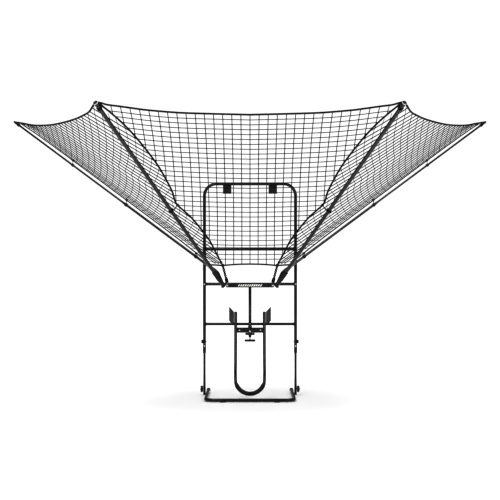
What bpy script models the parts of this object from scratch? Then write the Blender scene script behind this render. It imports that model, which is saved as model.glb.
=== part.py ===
"""Basketball shot-return net: a tubular stand, a netting funnel on four poles and a ball-return chute.

Metres, +Z up. The origin is on the floor under the middle of the whole object, and -Y faces the shooter.
"""
import math

import bmesh
import bpy
from mathutils import Matrix, Vector

GAP = 0.0003  # clearance left between touching pieces

# Stand
FRAME_Y = 0.40  # plane of the uprights
UPRIGHT_X = 0.3533
UPRIGHT_R = 0.0111
UPRIGHT_BORE_R = 0.0098
LEG_R = 0.0095
LEG_TOP = 0.85
COLLAR_BOTTOM = 0.33
UPRIGHT_BOTTOM = 0.3915
UPRIGHT_TOP = 1.5197
LOOP_TOP = 1.64
LOOP_CORNER = 0.094
CROSSBARS = {"upper": (1.135, 0.0120), "middle": (0.863, 0.0111), "lower": (0.553, 0.0100)}
POST_R = 0.0105
KNOB_Z = 0.417
BASE_R = 0.014
BASE_Z = 0.016
BASE_FRONT_Y = -0.07
BASE_REAR_Y = 0.63
BASE_CORNER = 0.07
BASE_SIDE_X = UPRIGHT_X - LEG_R - BASE_R - GAP
WHEEL_R = 0.025
WHEEL_Z = 0.05

# Front bar, arms and sockets
BAR_Y = 0.10
BAR_Z = 0.861
BAR_HALF = (0.182, 0.010, 0.016)
ARM_X = 0.17
ARM_R = 0.010

# Poles, left side: tip and foot of each centreline
FRONT_TIP = Vector((-1.02, -1.10, 2.10))
FRONT_FOOT = Vector((-0.203, 0.085, 0.865))
FRONT_POLE_R = 0.0125
REAR_TIP = Vector((-1.955, 1.1028, 2.19))
REAR_FOOT = Vector((-0.25, 0.125, 0.96))
REAR_LOWER_R = 0.010
REAR_UPPER_R = 0.008
REAR_JOINT = 1.02  # length of the lower section
SPIGOT = 0.06
SOCKET_DEPTH = 0.05
SOCKET_WALL = 0.0022
CAP_LENGTH = 0.03

# Netting and ropes
ROPE_R = 0.006
NET_THICK = 0.004
NET_INSET = 0.016  # from a rope's centreline to the edge of a panel
EDGE_OFFSET = 0.06  # edge rope from the rear pole, along the net
SEAM_END = 0.88  # where the seam rope ends, as a share of the front pole
FRONT_SAG = ((0.0, 0.0595), (0.466, 0.0497), (0.666, 0.038), (0.864, 0.0185), (1.02, 0.004))
SIDE_SAG = ((0.0, 0.0), (0.05, 0.047), (0.21, 0.081), (0.40, 0.089), (0.51, 0.086), (0.71, 0.063),
            (0.85, 0.032), (1.0, 0.0))
SEAM_OFFSET = ((0.0, 0.012), (0.035, 0.045), (0.135, 0.099), (0.31, 0.127), (0.46, 0.100), (0.52, 0.072),
               (0.60, 0.110), (0.73, 0.128), (0.80, 0.114), (0.88, 0.099))

# Chute
RAIL_X = 0.11
RAIL_R = 0.011
RAIL_ROUTE = ((0.345, 0.646), (0.325, 0.590), (0.305, 0.535), (0.280, 0.460), (0.245, 0.370), (0.200, 0.270),
              (0.150, 0.186))
RAIL_END = ((0.1063, 0.087, 0.125), (0.0901, 0.041, 0.095), (0.0631, 0.0046, 0.0714), (0.0285, -0.017, 0.0573),
            (0.0, -0.022, 0.054))
PLATE_Y = 0.298
PLATE_Z = 0.512
PLUNGER_Y = 0.325
PLUNGER_TRAVEL = 0.012
ARC_Z = 0.551
ARC_RADIUS = 0.085
SWIVEL = 25.0  # degrees each way
HANDLE_Z = 0.430

COLORS = {
    "black_paint": ((0.012, 0.012, 0.013), 0.25, 0.0),
    "grey_pole": ((0.16, 0.16, 0.17), 0.3, 0.6),
    "cap_plastic": ((0.62, 0.62, 0.64), 0.35, 0.0),
    "black_plastic": ((0.02, 0.02, 0.02), 0.45, 0.0),
    "rubber": ((0.03, 0.03, 0.03), 0.8, 0.0),
    "steel": ((0.6, 0.6, 0.62), 0.3, 1.0),
    "net": ((0.02, 0.02, 0.022), 0.8, 0.0),
}


def material(name):
    """The named material, made on first use."""
    found = bpy.data.materials.get(name)
    if found:
        return found
    color, roughness, metallic = COLORS[name]
    found = bpy.data.materials.new(name)
    found.use_nodes = True
    shader = found.node_tree.nodes["Principled BSDF"]
    shader.inputs["Base Color"].default_value = (*color, 1.0)
    shader.inputs["Roughness"].default_value = roughness
    shader.inputs["Metallic"].default_value = metallic
    found.diffuse_color = (*color, 1.0)
    return found


def pivot(name, place, parent=None):
    """An empty on a joint's axis, which the moving pieces are parented to."""
    empty = bpy.data.objects.new(name, None)
    bpy.context.collection.objects.link(empty)
    empty.location = Vector(place) - (parent.matrix_world.translation if parent else Vector())
    empty.parent = parent
    bpy.context.view_layer.update()
    return empty


def add(name, mesh_data, finish, parent=None):
    """One named object from a bmesh whose points are in world coordinates."""
    bmesh.ops.recalc_face_normals(mesh_data, faces=mesh_data.faces)
    mesh = bpy.data.meshes.new(name)
    mesh_data.to_mesh(mesh)
    mesh_data.free()
    mesh.shade_smooth()
    mesh.set_sharp_from_angle(angle=math.radians(40))
    obj = bpy.data.objects.new(name, mesh)
    bpy.context.collection.objects.link(obj)
    mesh.materials.append(material(finish))
    if parent:
        obj.parent = parent
        obj.matrix_parent_inverse = parent.matrix_world.inverted()
    return obj


def joined_rings(rings, closed=False):
    """A bmesh through rings of points; one-point rings close the ends, and open ends get a flat cap."""
    shape = bmesh.new()
    made = [[shape.verts.new(point) for point in ring] for ring in rings]
    pairs = list(zip(made, made[1:]))
    if closed:
        pairs.append((made[-1], made[0]))
    for first, second in pairs:
        count = max(len(first), len(second))
        for i in range(count):
            j = (i + 1) % count
            if len(first) == 1:
                shape.faces.new((first[0], second[i], second[j]))
            elif len(second) == 1:
                shape.faces.new((first[i], first[j], second[0]))
            else:
                shape.faces.new((first[i], first[j], second[j], second[i]))
    if not closed:
        for end in (made[0], made[-1]):
            if len(end) > 1:
                shape.faces.new(end)
    return shape


def frames_along(tangents):
    """A pair of cross-section axes at each station, turned as little as possible from one to the next."""
    side = tangents[0].orthogonal().normalized()
    frames = []
    for tangent in tangents:
        side = (side - tangent * side.dot(tangent)).normalized()
        frames.append((side.copy(), tangent.cross(side)))
    return frames


def stations(points, tangents, radii, sides):
    """Rings of points round a route."""
    rings = []
    for point, (side, up), radius in zip(points, frames_along(tangents), radii):
        turns = [2 * math.pi * i / sides for i in range(sides)]
        rings.append([point + (side * math.cos(a) + up * math.sin(a)) * radius for a in turns])
    return rings


def tube(points, radius, sides=10):
    """A solid tube along a route."""
    points = [Vector(p) for p in points]
    steps = [(b - a).normalized() for a, b in zip(points, points[1:])]
    tangents = [steps[0]] + [(a + b).normalized() for a, b in zip(steps, steps[1:])] + [steps[-1]]
    return joined_rings(stations(points, tangents, [radius] * len(points), sides))


def turned(profile, origin, axis, sides=16, closed=False):
    """A turned solid: profile points are (radius, distance along the axis from the origin)."""
    axis = Vector(axis).normalized()
    side = axis.orthogonal().normalized()
    up = axis.cross(side)
    rings = []
    for radius, along in profile:
        centre = Vector(origin) + axis * along
        if radius == 0:
            rings.append([centre])
            continue
        turns = [2 * math.pi * i / sides for i in range(sides)]
        rings.append([centre + (side * math.cos(a) + up * math.sin(a)) * radius for a in turns])
    return joined_rings(rings, closed)


def block(low, high, bevel=0.0):
    """A box between two corners, with its edges rounded."""
    shape = bmesh.new()
    low = Vector(low)
    high = Vector(high)
    bmesh.ops.create_cube(shape, size=1.0)
    size = Matrix.Diagonal((*(high - low), 1.0))
    bmesh.ops.transform(shape, matrix=Matrix.Translation((low + high) / 2) @ size, verts=shape.verts)
    if bevel:
        bmesh.ops.bevel(shape, geom=shape.edges[:], offset=bevel, segments=2, affect="EDGES", profile=0.5)
    return shape


def slab(outline, thickness):
    """A plate: an outline of points, thickened along the given vector."""
    front = [Vector(p) for p in outline]
    back = [p + Vector(thickness) for p in front]
    return joined_rings([front, back])


def smooth(points, steps=4):
    """A Catmull-Rom curve through the points."""
    points = [Vector(p) for p in points]
    padded = [2 * points[0] - points[1], *points, 2 * points[-1] - points[-2]]
    curve = []
    for a, b, c, d in zip(padded, padded[1:], padded[2:], padded[3:]):
        for i in range(steps):
            t = i / steps
            quadratic = 2 * a - 5 * b + 4 * c - d
            cubic = 3 * b - a - 3 * c + d
            curve.append(0.5 * (2 * b + (c - a) * t + quadratic * t**2 + cubic * t**3))
    return curve + [points[-1]]


def between(table, x):
    """The value at x on a smooth curve through (x, value) pairs."""
    count = len(table)
    last = max(i for i in range(count - 1) if table[i][0] <= max(x, table[0][0]))
    x0, y0 = table[last]
    x1, y1 = table[last + 1]
    before = table[max(last - 1, 0)]
    after = table[min(last + 2, count - 1)]
    slope0 = (y1 - before[1]) / (x1 - before[0])
    slope1 = (after[1] - y0) / (after[0] - x0)
    t = min(max((x - x0) / (x1 - x0), 0.0), 1.0)
    span = x1 - x0
    return ((2 * t**3 - 3 * t**2 + 1) * y0 + (t**3 - 2 * t**2 + t) * span * slope0
            + (3 * t**2 - 2 * t**3) * y1 + (t**3 - t**2) * span * slope1)


def bore_round(radius, sides):
    """Radius of a bore whose flats clear a round of this radius."""
    return (radius + GAP) / math.cos(math.pi / sides)


def mirrored(points):
    return [Vector((-p[0], p[1], p[2])) for p in points]


def cut(obj, cutter_shape, operation="DIFFERENCE"):
    """A Boolean on obj with a hidden helper."""
    helper = add(f"{obj.name}_{operation.lower()}_{len(obj.modifiers)}", cutter_shape, "steel")
    helper.hide_render = True
    helper.display_type = "WIRE"
    boolean = obj.modifiers.new("cut", "BOOLEAN")
    boolean.operation = operation
    boolean.object = helper


# Geometry of the funnel, left side

def front_pole(t):
    return FRONT_TIP.lerp(FRONT_FOOT, t)


def in_front_plane(x, t):
    """A point of the front panel's plane, at the height of share t of the front poles."""
    place = front_pole(t)
    return Vector((x, place.y, place.z))


def seam_x(t):
    return front_pole(t).x + between(SEAM_OFFSET, t)


def seam(t):
    return in_front_plane(seam_x(t), t)


def top_of_front(x):
    return in_front_plane(x, between(FRONT_SAG, abs(x)))


def top_of_side(s):
    """The side panel's top rope: s runs from the front tip to the rear tip."""
    place = FRONT_TIP.lerp(REAR_TIP, s)
    place.z -= between(SIDE_SAG, s)
    return place


NET_U = (REAR_FOOT - REAR_TIP).normalized()  # along the rear pole, downwards
NET_V = (FRONT_TIP - REAR_TIP - NET_U).normalized()  # across the side panel, towards the front pole
NET_V_LENGTH = (FRONT_TIP - REAR_TIP - NET_U).length
POLE_SPAN = FRONT_FOOT - FRONT_TIP
SEAM_RATE = NET_U.x * POLE_SPAN.z / NET_U.z - POLE_SPAN.x  # how fast a strand gains on the front pole
EDGE_BOTTOM = REAR_TIP + NET_U * 2.24 + NET_V * EDGE_OFFSET
CORNER = seam(SEAM_END)


def across_of_seam(t):
    """The side panel's coordinate v where its strand meets the seam rope at t."""
    return NET_V_LENGTH * (1 - t + between(SEAM_OFFSET, t) / SEAM_RATE)


def side_end(v):
    """Where the side panel's strand at v ends: on the seam rope or on the bottom rope."""
    lowest = across_of_seam(SEAM_END)
    if v <= lowest:
        return EDGE_BOTTOM.lerp(CORNER, (v - EDGE_OFFSET) / (lowest - EDGE_OFFSET))
    low = 0.03
    high = SEAM_END
    for _ in range(30):
        middle = (low + high) / 2
        if across_of_seam(middle) > v:
            low = middle
        else:
            high = middle
    return seam(high)


def side_point(share, v):
    """A point of the side panel: share runs from the top rope to the seam or bottom rope."""
    top = top_of_side(1 - v / NET_V_LENGTH)
    return top.lerp(side_end(v), share)


def panel(grid):
    """A thin closed solid on a grid of points."""
    rows = len(grid)
    columns = len(grid[0])
    shape = bmesh.new()
    faces = {}
    for side in (1, -1):
        verts = []
        for i in range(rows):
            line = []
            for j in range(columns):
                down = grid[min(i + 1, rows - 1)][j] - grid[max(i - 1, 0)][j]
                along = grid[i][min(j + 1, columns - 1)] - grid[i][max(j - 1, 0)]
                normal = down.cross(along).normalized()
                line.append(shape.verts.new(grid[i][j] + normal * side * NET_THICK / 2))
            verts.append(line)
        faces[side] = verts
    for side in (1, -1):
        verts = faces[side]
        for i in range(rows - 1):
            for j in range(columns - 1):
                shape.faces.new((verts[i][j], verts[i][j + 1], verts[i + 1][j + 1], verts[i + 1][j]))
    rim = [(i, 0) for i in range(rows)] + [(rows - 1, j) for j in range(1, columns)]
    rim += [(i, columns - 1) for i in range(rows - 2, -1, -1)] + [(0, j) for j in range(columns - 2, 0, -1)]
    for (a, b), (c, d) in zip(rim, rim[1:] + rim[:1]):
        shape.faces.new((faces[1][a][b], faces[1][c][d], faces[-1][c][d], faces[-1][a][b]))
    return shape


def build_base():
    """Floor frame: U tube, feet, legs, stop collars and transport wheels."""
    route = [(-BASE_SIDE_X, BASE_REAR_Y, BASE_Z), (-BASE_SIDE_X, 0.3, BASE_Z)]
    left_x = -BASE_SIDE_X + BASE_CORNER
    for i in range(7):
        a = math.pi + i * math.pi / 12
        route.append((left_x + BASE_CORNER * math.cos(a), BASE_FRONT_Y + BASE_CORNER * (1 + math.sin(a)), BASE_Z))
    route += [(-x, y, z) for x, y, z in reversed(route)]
    add("base_tube", tube(route, BASE_R, 12), "black_paint")
    for side, name in ((-1, "left"), (1, "right")):
        build_foot(f"front_foot_{name}", (side * 0.20, BASE_FRONT_Y), (0.020, 0.0))
        add(f"rear_foot_{name}", turned(
            ((0, 0.0), (0.0155, 0.0), (0.016, 0.003), (0.016, 0.018), (0, 0.018)),
            (side * BASE_SIDE_X, BASE_REAR_Y + GAP, BASE_Z), (0, 1, 0), 16), "black_plastic")
        x = side * UPRIGHT_X
        add(f"leg_{name}", turned(((0, 0.004), (LEG_R, 0.004), (LEG_R, LEG_TOP), (0, LEG_TOP)),
                                  (x, FRAME_Y, 0), (0, 0, 1), 16), "black_paint")
        ring = ((LEG_R + GAP, COLLAR_BOTTOM), (0.0125, COLLAR_BOTTOM), (0.0125, UPRIGHT_BOTTOM - GAP),
                (LEG_R + GAP, UPRIGHT_BOTTOM - GAP))
        add(f"stop_collar_{name}", turned(ring, (x, FRAME_Y, 0), (0, 0, 1), 16, True), "black_plastic")
        build_wheel(side, name)


def build_foot(name, place, half):
    """A rubber foot under the base tube, with a trough that the tube sits in."""
    x, y = place
    trough = BASE_R + GAP
    width = trough + 0.003
    outline = [(-width, 0.0), (width, 0.0), (width, BASE_Z)]
    for i in range(9):
        a = -i * math.pi / 8
        outline.append((trough * math.cos(a), BASE_Z + trough * math.sin(a)))
    outline.append((-width, BASE_Z))
    points = [(x - half[0], y + across, up) for across, up in outline]
    add(name, slab(points, (2 * half[0], 0, 0)), "rubber")


def build_wheel(side, name):
    start = side * (UPRIGHT_X + LEG_R)
    wheel_in, wheel_out, bore = 0.002, 0.020, 0.0053
    profile = ((bore, wheel_in), (0.022, wheel_in), (WHEEL_R, 0.005), (WHEEL_R, 0.017), (0.022, wheel_out),
               (bore, wheel_out))
    spot = (start, FRAME_Y, WHEEL_Z)
    hub = pivot(f"wheel_axis_{name}", spot)
    add(f"wheel_{name}", turned(profile, spot, (side, 0, 0), 24, True), "black_plastic", hub)
    bolt = ((0, GAP), (0.005, GAP), (0.005, 0.0205), (0.0085, 0.0205), (0.0085, 0.0245), (0, 0.0255))
    add(f"wheel_bolt_{name}", turned(bolt, spot, (side, 0, 0), 12), "steel")


def build_stand(lift):
    """Upper frame, which slides on the legs."""
    for side, name in ((-1, "left"), (1, "right")):
        profile = ((0, LEG_TOP + 0.05), (UPRIGHT_BORE_R, LEG_TOP + 0.05), (UPRIGHT_BORE_R, UPRIGHT_BOTTOM),
                   (UPRIGHT_R, UPRIGHT_BOTTOM), (UPRIGHT_R, UPRIGHT_TOP), (0, UPRIGHT_TOP))
        upright = add(f"upright_{name}", turned(profile, (side * UPRIGHT_X, FRAME_Y, 0), (0, 0, 1), 16),
                      "black_paint", lift)
        start = (side * (UPRIGHT_X + 0.006), FRAME_Y, KNOB_Z)
        cut(upright, turned(((0, 0), (0.0043, 0), (0.0043, 0.01), (0, 0.01)), start, (side, 0, 0), 12))
        add(f"arm_{name}", tube([(side * ARM_X, BAR_Y + BAR_HALF[1] + GAP, BAR_Z),
                                 (side * ARM_X, FRAME_Y - CROSSBARS["middle"][1] - GAP, BAR_Z)], ARM_R, 12),
            "black_paint", lift)
        top = LOOP_TOP - UPRIGHT_R - GAP
        add(f"rubber_pad_{name}", block((side * 0.177 - 0.0325, FRAME_Y - 0.006, top - 0.065),
                                        (side * 0.177 + 0.0325, FRAME_Y + 0.006, top), 0.002), "rubber", lift)
    corner = LOOP_TOP - LOOP_CORNER
    route = [(-UPRIGHT_X, FRAME_Y, UPRIGHT_TOP + GAP)]
    for i in range(9):
        a = math.pi - i * math.pi / 16
        route.append((-UPRIGHT_X + LOOP_CORNER * (1 + math.cos(a)), FRAME_Y, corner + LOOP_CORNER * math.sin(a)))
    route += [(-x, y, z) for x, y, z in reversed(route)]
    add("top_loop", tube(route, UPRIGHT_R, 12), "black_paint", lift)
    reach = UPRIGHT_X - UPRIGHT_R - GAP
    for name, (z, radius) in CROSSBARS.items():
        add(f"crossbar_{name}", tube([(-reach, FRAME_Y, z), (reach, FRAME_Y, z)], radius, 12), "black_paint", lift)
    low = CROSSBARS["lower"][0] + CROSSBARS["lower"][1] + GAP
    high = CROSSBARS["middle"][0] - CROSSBARS["middle"][1] - GAP
    add("center_post", tube([(0, FRAME_Y, low), (0, FRAME_Y, high)], POST_R, 12), "black_paint", lift)
    half = Vector(BAR_HALF)
    middle = Vector((0, BAR_Y, BAR_Z))
    add("front_bar", block(middle - half, middle + half, 0.006), "black_paint", lift)
    build_arc_plate(lift)
    pin = ((0, 0.462), (0.012, 0.462), (0.013, 0.464), (0.013, 0.4695), (0.0078, 0.4695), (0.0078, 0.5427),
           (0, 0.5427))
    add("pivot_pin", turned(pin, (0, FRAME_Y, 0), (0, 0, 1), 16), "steel", lift)


def build_arc_plate(lift):
    """Notched sector on the lower crossbar, which the plunger locks the chute to."""
    notch_in = FRAME_Y - PLUNGER_Y - 0.005
    half_notch = math.atan2(0.0048, ARC_RADIUS)
    angles = []
    span = math.radians(50)
    for step in (1, 0.5, 0, -0.5, -1):
        centre = math.radians(SWIVEL) * step
        angles.append((ARC_RADIUS, centre + half_notch))
        angles.append((notch_in, centre + half_notch * 0.8))
        angles.append((notch_in, centre - half_notch * 0.8))
        angles.append((ARC_RADIUS, centre - half_notch))
    angles = [(ARC_RADIUS, span), (ARC_RADIUS, math.radians(38)), *angles, (ARC_RADIUS, -math.radians(38)),
              (ARC_RADIUS, -span)]
    outline = [(0.070, 0.0105)] + [(r * math.sin(a), r * math.cos(a)) for r, a in angles] + [(-0.070, 0.0105)]
    points = [(x, FRAME_Y - forward, ARC_Z) for x, forward in outline]
    add("arc_plate", slab(points, (0, 0, 0.004)), "black_paint", lift)


def build_knobs(lift):
    for side, name in ((-1, "left"), (1, "right")):
        start = (side * UPRIGHT_X, FRAME_Y, KNOB_Z)
        axis = pivot(f"knob_axis_{name}", start, lift)
        stud_in = LEG_R + 0.0006
        face = UPRIGHT_R + 0.0006
        profile = ((0, stud_in), (0.004, stud_in), (0.004, face), (0.012, face), (0.0145, face + 0.002),
                   (0.0145, face + 0.010), (0.012, face + 0.0125), (0, face + 0.013))
        add(f"lock_knob_{name}", turned(profile, start, (side, 0, 0), 18), "black_plastic", axis)


def socket(name, stem, foot, tip, pole_r, lift):
    """A pole socket: a short stem that opens into a cup round the pole's foot."""
    along = (tip - foot).normalized()
    bore = bore_round(pole_r, 14)
    outer = bore + SOCKET_WALL
    floor = foot - along * GAP
    rise = (foot - stem).normalized()
    points = [stem, foot - along * 0.012, foot - along * 0.004, foot + along * SOCKET_DEPTH,
              foot + along * SOCKET_DEPTH, floor]
    tangents = [rise, (rise + along).normalized(), along, along, along, along]
    radii = [outer * 0.8, outer * 0.9, outer, outer, bore, bore]
    add(name, joined_rings(stations(points, tangents, radii, 14)), "black_paint", lift)


def build_poles(lift):
    for side, name in ((-1, "left"), (1, "right")):
        flip = Vector((-side, 1, 1))
        front_tip, front_foot, rear_tip, rear_foot = (p * flip for p in (FRONT_TIP, FRONT_FOOT, REAR_TIP, REAR_FOOT))
        front_stem = Vector((side * 0.2065, 0.094, 0.848))
        rear_stem = Vector((side * 0.204, 0.128, 0.872))
        socket(f"front_socket_{name}", front_stem, front_foot, front_tip, FRONT_POLE_R, lift)
        socket(f"rear_socket_{name}", rear_stem, rear_foot, rear_tip, REAR_LOWER_R, lift)
        add(f"front_pole_{name}", tube([front_foot, front_tip], FRONT_POLE_R, 14), "grey_pole", lift)
        along = (rear_tip - rear_foot).normalized()
        length = (rear_tip - rear_foot).length
        bore = bore_round(REAR_UPPER_R, 14)
        lower = ((0, 0), (REAR_LOWER_R, 0), (REAR_LOWER_R, REAR_JOINT), (bore, REAR_JOINT),
                 (bore, REAR_JOINT - SPIGOT), (0, REAR_JOINT - SPIGOT))
        add(f"rear_pole_lower_{name}", turned(lower, rear_foot, along, 14), "grey_pole", lift)
        start = REAR_JOINT - SPIGOT + GAP
        upper = ((0, start), (REAR_UPPER_R, start), (REAR_UPPER_R, length), (0, length))
        add(f"rear_pole_upper_{name}", turned(upper, rear_foot, along, 14), "grey_pole", lift)
        front_along = (front_tip - front_foot).normalized()
        for end, tip, direction, radius in (("front", front_tip, front_along, FRONT_POLE_R),
                                            ("rear", rear_tip, along, REAR_UPPER_R)):
            inner = bore_round(radius, 14)
            outer = inner + 0.0015
            cap = ((0, GAP), (inner, GAP), (inner, -CAP_LENGTH), (outer, -CAP_LENGTH), (outer, 0.002),
                   (outer * 0.75, 0.005), (0, 0.006))
            add(f"{end}_cap_{name}", turned(cap, tip, direction, 14), "cap_plastic", lift)


def build_net(lift):
    """Netting panels and their border ropes."""
    rows = 12
    grid = []
    for i in range(rows + 1):
        line = []
        for j in range(17):
            s = -1 + 2 * j / 16
            widest = abs(seam_x(0.045)) - NET_INSET
            top = between(FRONT_SAG, abs(s) * widest) + 0.012
            t = top + (SEAM_END - 0.012 - top) * i / rows
            line.append(in_front_plane(s * (abs(seam_x(t)) - NET_INSET), t))
        grid.append(line)
    add("net_front", panel(grid), "net", lift)

    side_grid = []
    first = EDGE_OFFSET + 2 * NET_INSET
    last = NET_V_LENGTH * 0.955
    for i in range(13):
        v = first + (last - first) * i / 12
        length = (side_end(v) - side_point(0, v)).length
        edge = min(NET_INSET * 1.6 / length, 0.3)
        side_grid.append([side_point(edge + (1 - 2 * edge) * j / 8, v) for j in range(9)])
    add("net_side_left", panel(side_grid), "net", lift)
    add("net_side_right", panel([mirrored(line) for line in side_grid]), "net", lift)

    side_top = [top_of_side(s) for s in (0.985, 0.93, 0.85, 0.71, 0.51, 0.35, 0.21, 0.12, 0.06)]
    tip_turn = [FRONT_TIP + Vector((0.0, 0.046, 0.004))]
    front_top = [top_of_front(x) for x in (-0.94, -0.864, -0.75, -0.666, -0.466, -0.25, 0.0)]
    left = smooth(side_top + tip_turn + front_top, 2)
    add("top_rope", tube(left + mirrored(left[-2::-1]), ROPE_R, 6), "net", lift)
    seam_shares = (0.05, 0.09, 0.135, 0.2, 0.31, 0.4, 0.46, 0.52, 0.56, 0.6, 0.66, 0.73, 0.8, 0.855)
    seam_route = [seam(t) for t in seam_shares]
    edge_route = [REAR_TIP + NET_U * p + NET_V * EDGE_OFFSET for p in (0.09, 0.6, 1.2, 1.8, 2.2)]
    bottom_left = [EDGE_BOTTOM, EDGE_BOTTOM.lerp(CORNER, 0.5), CORNER + Vector((0.004, 0.004, 0))]
    middle = in_front_plane(0, SEAM_END - 0.008)
    bottom = smooth(bottom_left + [in_front_plane(-0.1, SEAM_END - 0.006), middle], 3)
    add("bottom_rope", tube(bottom + mirrored(bottom[-2::-1]), ROPE_R, 6), "net", lift)
    for name, flip in (("left", list), ("right", mirrored)):
        add(f"seam_rope_{name}", tube(flip(seam_route), ROPE_R, 6), "net", lift)
        add(f"edge_rope_{name}", tube(flip(edge_route), ROPE_R, 6), "net", lift)


def upright_rod(y, radius, low, high, sides):
    """A vertical rod on the middle plane."""
    return turned(((0, low), (radius, low), (radius, high), (0, high)), (0, y, 0), (0, 0, 1), sides)


def build_chute(swivel, plunger):
    left = smooth([(-RAIL_X, y, z) for y, z in RAIL_ROUTE] + [(-x, y, z) for x, y, z in RAIL_END], 3)
    add("chute_rails", tube(left + mirrored(left[-2::-1]), RAIL_R, 10), "black_paint", swivel)
    inner = RAIL_X + RAIL_R + 0.002
    for side, name in ((-1, "left"), (1, "right")):
        outline = [(inner, 0.345, 0.650), (0.160, 0.352, 0.690), (0.160, 0.3235, 0.585), (0.152, 0.318, 0.572),
                   (inner, 0.312, 0.558)]
        add(f"chute_guard_{name}", slab([(side * x, y, z) for x, y, z in outline], (side * 0.001, -0.003, 0)),
            "black_plastic", swivel)
    reach = RAIL_X - RAIL_R - 0.0005
    add("cross_plate", block((-reach, PLATE_Y - 0.002, PLATE_Z - 0.020), (reach, PLATE_Y + 0.002, PLATE_Z + 0.020),
                             0.0008), "black_paint", swivel)
    yoke = add("swivel_yoke", block((-0.030, PLATE_Y + 0.002 + GAP, 0.497), (0.030, FRAME_Y - 0.004, 0.517)),
               "black_paint", swivel)
    cut(yoke, upright_rod(FRAME_Y, 0.016, 0.475, 0.540, 20), "UNION")
    cut(yoke, upright_rod(FRAME_Y, 0.0081, 0.470, 0.545, 17))
    cut(yoke, upright_rod(PLUNGER_Y, 0.0114, 0.490, 0.525, 15))
    spot = (0, PLUNGER_Y, 0)
    floor_low, floor_high, mouth = 0.455, 0.459, 0.545
    housing = ((0.0045, floor_low), (0.011, floor_low), (0.011, mouth), (0.0085, mouth), (0.0085, floor_high),
               (0.0045, floor_high))
    add("plunger_housing", turned(housing, spot, (0, 0, 1), 16, True), "black_paint", swivel)
    collar = 0.528
    stem = ((0, HANDLE_Z), (0.004, HANDLE_Z), (0.004, collar), (0.008, collar), (0.008, collar + 0.004),
            (0.004, collar + 0.004), (0.004, ARC_Z - 0.002), (0.003, ARC_Z - 0.0005), (0, ARC_Z - 0.0005))
    handle = add("t_handle", turned(stem, spot, (0, 0, 1), 14), "black_plastic", plunger)
    grip = ((0, -0.042), (0.006, -0.042), (0.008, -0.039), (0.008, 0.039), (0.006, 0.042), (0, 0.042))
    cut(handle, turned(grip, (0, PLUNGER_Y, HANDLE_Z), (1, 0, 0), 15), "UNION")
    coil = []
    turns = 7
    low = floor_high + 0.0015
    high = collar - PLUNGER_TRAVEL - 0.0015
    for i in range(turns * 10 + 1):
        a = 2 * math.pi * i / 10
        coil.append((0.0062 * math.cos(a), PLUNGER_Y + 0.0062 * math.sin(a), low + (high - low) * i / (turns * 10)))
    add("plunger_spring", tube(coil, 0.0008, 5), "steel", swivel)


def main():
    for obj in list(bpy.data.objects):
        bpy.data.objects.remove(obj)
    lift = pivot("height_slide", (0, FRAME_Y, UPRIGHT_BOTTOM))
    swivel = pivot("chute_swivel", (0, FRAME_Y, PLATE_Z), lift)
    plunger = pivot("plunger_slide", (0, PLUNGER_Y, HANDLE_Z), swivel)
    build_base()
    build_stand(lift)
    build_knobs(lift)
    build_poles(lift)
    build_net(lift)
    build_chute(swivel, plunger)


main()
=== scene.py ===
"""Looks of the basketball shot-return net: netting, ropes, tubes, fittings and materials.

Metres, +Z up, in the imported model's frame. The shooter stands towards -Y.
"""
import math

import bmesh
import bpy
import numpy as np
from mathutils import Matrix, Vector


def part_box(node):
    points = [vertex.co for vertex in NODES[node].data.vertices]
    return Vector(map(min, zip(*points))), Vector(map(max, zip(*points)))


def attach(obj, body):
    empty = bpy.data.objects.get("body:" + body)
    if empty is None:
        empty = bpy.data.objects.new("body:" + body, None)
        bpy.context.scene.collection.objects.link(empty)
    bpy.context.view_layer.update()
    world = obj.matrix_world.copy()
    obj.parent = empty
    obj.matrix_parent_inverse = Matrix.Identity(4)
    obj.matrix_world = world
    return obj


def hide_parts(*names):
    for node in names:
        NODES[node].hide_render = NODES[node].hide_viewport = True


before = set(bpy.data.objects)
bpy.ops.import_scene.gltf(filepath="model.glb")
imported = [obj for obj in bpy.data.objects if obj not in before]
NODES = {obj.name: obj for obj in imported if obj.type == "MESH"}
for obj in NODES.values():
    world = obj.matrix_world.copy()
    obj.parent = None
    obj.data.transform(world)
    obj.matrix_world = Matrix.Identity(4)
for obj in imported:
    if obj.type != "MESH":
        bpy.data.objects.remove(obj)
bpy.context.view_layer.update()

SIDES = (("left", 1), ("right", -1))  # sign that mirrors a point of the left side

# Layout of the CAD model. The radii of the upright, posts, crossbars, front pole, rails and
# ropes are a little larger than there, and the base tube's is smaller, to match the photo.
FRAME_Y = 0.40  # plane of the uprights
UPRIGHT_X = 0.3533
UPRIGHT_R = 0.0118
UPRIGHT_BORE_R = 0.0099
UPRIGHT_BORE_TOP = 0.9
LEG_R = 0.0095
ARM_R = 0.010
POST_R = 0.0115
CROSSBARS = (("upper", 1.135, 0.0126), ("middle", 0.863, 0.0116), ("lower", 0.553, 0.0106))
LOOP_TOP = 1.64
LOOP_CORNER = 0.094
BASE_R = 0.0128
BASE_INSET = 0.014  # from the CAD tube's outside to its centreline
BASE_Z = 0.016
BASE_CORNER = 0.07
BAR_Y = 0.10
BAR_Z = 0.861
HOOK_X = 0.172
FRONT_TIP = Vector((-1.02, -1.10, 2.10))
FRONT_FOOT = Vector((-0.203, 0.085, 0.865))
FRONT_POLE_R = 0.0138
REAR_TIP = Vector((-1.955, 1.1028, 2.19))
REAR_FOOT = Vector((-0.25, 0.125, 0.96))
REAR_LOWER_R = 0.010
REAR_UPPER_R = 0.008
REAR_JOINT = 1.02  # length of the lower section
SPIGOT = 0.06  # depth of the lower section's bore
CLIPS = (1.605, 0.985, 0.22)  # distances up the rear pole
WRAP_DROP = 0.052  # from a pole's tip down to its lashing
EDGE_OFFSET = 0.06  # edge rope from the rear pole, along the net
EDGE_REACH = 2.24  # length of the net along the rear pole
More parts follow.
